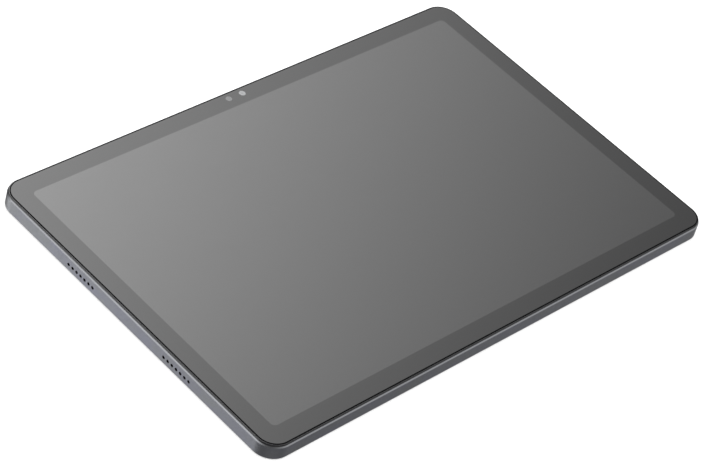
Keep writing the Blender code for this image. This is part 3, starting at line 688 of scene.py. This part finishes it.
def make_rear_camera():
    """Machined ring, masked glass with a stepped lens well, and the flash lens."""
    spot = REAR_CAMERA.xy
    low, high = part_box("rear_camera_ring")
    outer, inner = half("rear_camera_ring").x, 4.3 * MM
    soft = 0.12 * MM
    bm = bmesh.new()
    turned(bm, "Z", spot, [(outer, high.z - soft), (outer - soft, high.z),
                           (inner, high.z), (inner, low.z + 0.2 * MM),
                           (inner + 0.2 * MM, low.z), (outer - soft, low.z),
                           (outer, low.z + soft)], steps=96, close=True)
    ring = new_object("rear_camera_bezel", bm, [MACHINED])
    settle(ring, "tablet", ["rear_camera_ring"])

    low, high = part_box("rear_camera_window")
    edge = half("rear_camera_window").x
    mask, barrel, lens = range(3)
    bm = bmesh.new()
    well = low.z + 0.25 * MM
    profile = [(edge, high.z), (edge, low.z + 0.05 * MM), (edge - 0.05 * MM, low.z),
               (2.40 * MM, low.z), (2.30 * MM, low.z + 0.08 * MM),
               (1.95 * MM, low.z + 0.08 * MM), (1.85 * MM, low.z + 0.16 * MM),
               (1.55 * MM, low.z + 0.16 * MM), (1.45 * MM, well), (1.30 * MM, well),
               (1.15 * MM, well - 0.07 * MM), (0.9 * MM, well - 0.12 * MM),
               (0.6 * MM, well - 0.155 * MM), (0.3 * MM, well - 0.175 * MM),
               (0.05 * MM, well - 0.18 * MM)]
    zones = [mask, mask, mask, mask] + [barrel] * 5 + [lens] * 5
    turned(bm, "Z", spot, profile, steps=72, zones=zones)
    for face in bm.faces:
        if len(face.verts) > 4:
            face.material_index = mask if face.calc_center_median().z > well else lens
    window = new_object("rear_camera_lens", bm, [REAR_GLASS, BARREL, COATED])
    settle(window, "tablet", ["rear_camera_window"], sharp=28)

    low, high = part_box("flash_lens")
    edge = half("flash_lens").x
    profile = [(edge, high.z), (edge, low.z + 0.05 * MM), (edge - 0.08 * MM, low.z)]
    for i in range(5):
        radius = edge - (0.2 + 0.24 * i) * MM
        profile += [(radius, low.z), (radius - 0.02 * MM, low.z + 0.1 * MM)]
    bm = bmesh.new()
    turned(bm, "Z", FLASH.xy, profile, steps=48)
    lens = new_object("flash_window", bm, [FLASH_PLASTIC])
    settle(lens, "tablet", ["flash_lens"], sharp=20)


# ---------------------------------------------------------------- pieces kept from the CAD


def circuit_board():
    """Green solder mask over copper tracks, with tinned pads."""
    look = Look("solder_mask", Roughness=0.38)
    where = look.place()
    tracks = look.spread(look.stripes(420.0, "X", look.place(turn=(0, 0, 0.785)), 6.0),
                         0.0, 1.0, 0.45, 0.6)
    pads = look.node("ShaderNodeTexVoronoi", {"feature": "F1", "distance": "CHEBYCHEV"},
                     Vector=where, Scale=700.0).outputs["Distance"]
    pad_share = look.spread(pads, 1.0, 0.0, 0.18, 0.24)
    mask = look.blend(tracks, (0.012, 0.070, 0.040), (0.020, 0.120, 0.065))
    colour = look.blend(pad_share, mask, (0.55, 0.52, 0.42))
    look.put(look.shader, Base_Color=colour, Metallic=look.spread(pad_share, 0.0, 0.8),
             Normal=look.relief(tracks, 0.2, 0.02 * MM))
    return look.material


def flex_circuit():
    """Amber film with copper tracks running along it."""
    look = Look("flex_circuit", Roughness=0.35)
    tracks = look.spread(look.stripes(330.0, "X"), 0.0, 1.0, 0.4, 0.6)
    stain = look.noise(300.0)
    film = look.blend(stain, (0.30, 0.11, 0.02), (0.42, 0.17, 0.03))
    look.put(look.shader, Base_Color=look.blend(tracks, film, (0.50, 0.24, 0.08)),
             Normal=look.relief(tracks, 0.25, 0.02 * MM))
    return look.material


def woven_mesh():
    """Fine woven dust screen."""
    look = Look("woven_screen", Metallic=0.9)
    over = look.stripes(1100.0, "Y")
    across = look.stripes(1100.0, "Z")
    weave = look.math("MULTIPLY", over, across)
    look.put(look.shader, Base_Color=look.blend(weave, (0.006, 0.006, 0.007), (0.10, 0.10, 0.11)),
             Roughness=look.spread(weave, 0.6, 0.35), Normal=look.relief(weave, 0.6, 0.05 * MM))
    return look.material


def pouch_foil():
    """Wrinkled laminate of a pouch cell."""
    look = Look("pouch_foil", Metallic=0.55)
    folds = look.noise(220.0, 5.0, 0.6, look.place((1, 0.5, 1)))
    foil = look.blend(folds, (0.035, 0.036, 0.040), (0.075, 0.077, 0.085))
    look.put(look.shader, Base_Color=foil,
             Roughness=look.spread(folds, 0.3, 0.5, 0.3, 0.7),
             Normal=look.relief(folds, 0.4, 0.1 * MM))
    return look.material


INNER = (
    (circuit_board(), ("display_driver_board", "battery_protection_board",
                       "main_board", "usb_board")),
    (flex_circuit(), ("display_flex", "touch_flex", "battery_flex",
                      "board_link_flex", "side_key_flex", "antenna_left",
                      "antenna_right")),
    (woven_mesh(), ("speaker_mesh_left_lower", "speaker_mesh_left_upper",
                    "speaker_mesh_right_lower", "speaker_mesh_right_upper")),
    (pouch_foil(), ("battery_cell_left", "battery_cell_right")),
    (grained("chip_resin", (0.010, 0.010, 0.011), (0.022, 0.022, 0.024), 2600.0,
             (0.4, 0.55), bump=0.1), ("processor", "memory_chip", "storage_chip")),
    (grained("brushed_shield", (0.48, 0.49, 0.50), (0.60, 0.61, 0.62), 900.0,
             (0.25, 0.4), metallic=1.0, bump=0.08, stretch=(0.08, 1, 1)),
     ("processor_shield", "power_shield", "wireless_shield",
      "microphone_left", "microphone_right", "card_reader")),
    (grained("cast_magnesium", (0.36, 0.37, 0.37), (0.46, 0.47, 0.48), 700.0,
             (0.45, 0.6), metallic=0.8, bump=0.2), ("mid_frame",)),
    (grained("adhesive_tape", (0.020, 0.020, 0.020), (0.035, 0.035, 0.034), 500.0,
             (0.7, 0.9), bump=0.2), ("glass_tape",)),
    (grained("panel_film", (0.020, 0.022, 0.026), (0.030, 0.032, 0.036), 400.0,
             (0.12, 0.2), bump=0.01), ("lcd_panel",)),
    (grained("white_film", (0.68, 0.69, 0.69), (0.78, 0.79, 0.79), 300.0,
             (0.4, 0.55), bump=0.05), ("backlight_unit",)),
    (NICKEL, ("mid_frame_screw_1", "mid_frame_screw_2", "mid_frame_screw_3",
              "mid_frame_screw_4", "power_switch", "volume_up_switch",
              "volume_down_switch", "side_key_bracket", "eject_rod", "eject_lever")),
    (MOULDING, ("speaker_left_lower", "speaker_left_upper",
                "speaker_right_lower", "speaker_right_upper", "front_camera",
                "light_sensor", "rear_camera")),
    (FLASH_PLASTIC, ("flash_led",)),
)


def paint_inner():
    """Give every piece kept from the CAD its material."""
    for material, nodes in INNER:
        for node in nodes:
            for material_slot in NODES[node].material_slots:
                material_slot.material = material


# ---------------------------------------------------------------- setting

CAMERA_AT = Vector((-0.69933, -0.50077, 0.73691))
CAMERA_AIM = Vector((-0.01027, -0.00457, 0.0))
CAMERA_ROLL = math.radians(16.8065)
CAMERA_LENS = 139.0


def aim_camera():
    """Camera above the near left corner, rolled so that the long side runs uphill."""
    data = bpy.data.cameras.new("camera")
    data.lens = CAMERA_LENS
    data.sensor_width = 36.0
    data.clip_start, data.clip_end = 0.01, 50.0
    camera = bpy.data.objects.new("camera", data)
    bpy.context.scene.collection.objects.link(camera)
    ahead = (CAMERA_AIM - CAMERA_AT).normalized()
    level = ahead.cross(Vector((0, 0, 1))).normalized()
    upright = level.cross(ahead)
    right = math.cos(CAMERA_ROLL) * level + math.sin(CAMERA_ROLL) * upright
    up = -math.sin(CAMERA_ROLL) * level + math.cos(CAMERA_ROLL) * upright
    turn = Matrix((right, up, -ahead)).transposed()
    camera.matrix_world = Matrix.Translation(CAMERA_AT) @ turn.to_4x4()
    bpy.context.scene.camera = camera


FLOOR_RADIUS = 6.0
FLOOR_TOP, FLOOR_BASE = -0.05 * MM, -20.05 * MM


def lay_floor():
    """Plain pale floor, evenly lit, that the tablet doesn't mirror."""
    bm = bmesh.new()
    turned(bm, "Z", (0.0, 0.0), [(FLOOR_RADIUS, FLOOR_BASE), (FLOOR_RADIUS, FLOOR_TOP)],
           steps=96)
    floor_paint = grained("floor_paint", (0.38, 0.38, 0.38), (0.40, 0.40, 0.40), 30.0,
                          (0.6, 0.7), bump=0.0, Specular_IOR_Level=0.2,
                          Emission_Color=(1.0, 1.0, 1.0, 1.0), Emission_Strength=0.60)
    floor = new_object("floor", bm, [floor_paint])
    floor.visible_glossy = False
    floor.visible_diffuse = False
    floor.visible_shadow = False


def direction(azimuth, elevation):
    """Unit vector; azimuth is from +X towards +Y, both in degrees."""
    a, e = math.radians(azimuth), math.radians(elevation)
    return (math.cos(a) * math.cos(e), math.sin(a) * math.cos(e), math.sin(e))


# Soft sources all round, as (middle, brightness, tightness). The first is the broad
# softbox that the screen mirrors, the next three light the left side, and the others
# light the right, the far and the near side.
SOURCES = (
    (direction(58.75, 41.6), 6.15, 21.6),
    ((-0.86, 0.44, -0.25), 4.2, 24.0),
    ((-0.66, 0.47, 0.58), 1.08, 8.0),
    ((-0.36, 0.64, -0.68), 2.95, 30.0),
    ((0.88, -0.28, -0.38), 0.58, 5.5),
    ((0.64, 0.64, -0.15), 0.45, 8.0),
    ((-0.35, -0.70, -0.60), 0.42, 4.0),
    ((0.54, -0.60, 0.60), 0.60, 5.0),
)
ROOM = 0.10                     # what comes from everywhere else
OVERHEAD_POWER, OVERHEAD_SIZE, OVERHEAD_HEIGHT = 40.0, 1.0, 1.5
BACKDROP = 1.0                  # brightness of the empty background, seen directly


def light_scene():
    """Smooth studio light: soft sources all round, and an overhead."""
    world = bpy.data.worlds.new("studio")
    bpy.context.scene.world = world
    world.use_nodes = True
    tree = world.node_tree
    tree.nodes.clear()

    def node(kind, **settings):
        made = tree.nodes.new(kind)
        for name, value in settings.items():
            setattr(made, name, value)
        return made

    def sum_of(operation, a, b=0.0):
        made = node("ShaderNodeMath", operation=operation)
        for socket, value in zip(made.inputs, (a, b)):
            if isinstance(value, bpy.types.NodeSocket):
                tree.links.new(value, socket)
            else:
                socket.default_value = value
        return made.outputs[0]

    coordinates = node("ShaderNodeTexCoord").outputs["Generated"]

    def towards(target):
        made = node("ShaderNodeVectorMath", operation="DOT_PRODUCT")
        tree.links.new(coordinates, made.inputs[0])
        made.inputs[1].default_value = target
        return made.outputs["Value"]

    level = ROOM
    for target, brightness, tightness in SOURCES:
        away = sum_of("SUBTRACT", towards(Vector(target).normalized()), 1.0)
        glow = sum_of("EXPONENT", sum_of("MULTIPLY", away, tightness))
        level = sum_of("ADD", sum_of("MULTIPLY", glow, brightness), level)
    light = node("ShaderNodeBackground")
    tree.links.new(level, light.inputs["Strength"])
    backdrop = node("ShaderNodeBackground")
    backdrop.inputs["Color"].default_value = (1.0, 1.0, 1.0, 1.0)
    backdrop.inputs["Strength"].default_value = BACKDROP
    mix = node("ShaderNodeMixShader")
    tree.links.new(node("ShaderNodeLightPath").outputs["Is Camera Ray"], mix.inputs[0])
    tree.links.new(light.outputs[0], mix.inputs[1])
    tree.links.new(backdrop.outputs[0], mix.inputs[2])
    tree.links.new(mix.outputs[0], node("ShaderNodeOutputWorld").inputs["Surface"])

    data = bpy.data.lights.new("overhead", "AREA")
    data.shape = "DISK"
    data.size = OVERHEAD_SIZE
    data.energy = OVERHEAD_POWER
    overhead = bpy.data.objects.new("overhead", data)
    overhead.location = (0.0, 0.0, OVERHEAD_HEIGHT)
    overhead.visible_glossy = False
    bpy.context.scene.collection.objects.link(overhead)


bpy.context.scene.view_settings.view_transform = "Standard"
aim_camera()
lay_floor()
light_scene()
make_housing()
make_rim()
make_glass()
make_key("power_button", "power_key", "power_key_cap")
make_key("volume_rocker", "volume_key", "volume_key_cap")
make_tray()
make_seal()
make_usb()
make_rear_camera()
paint_inner()
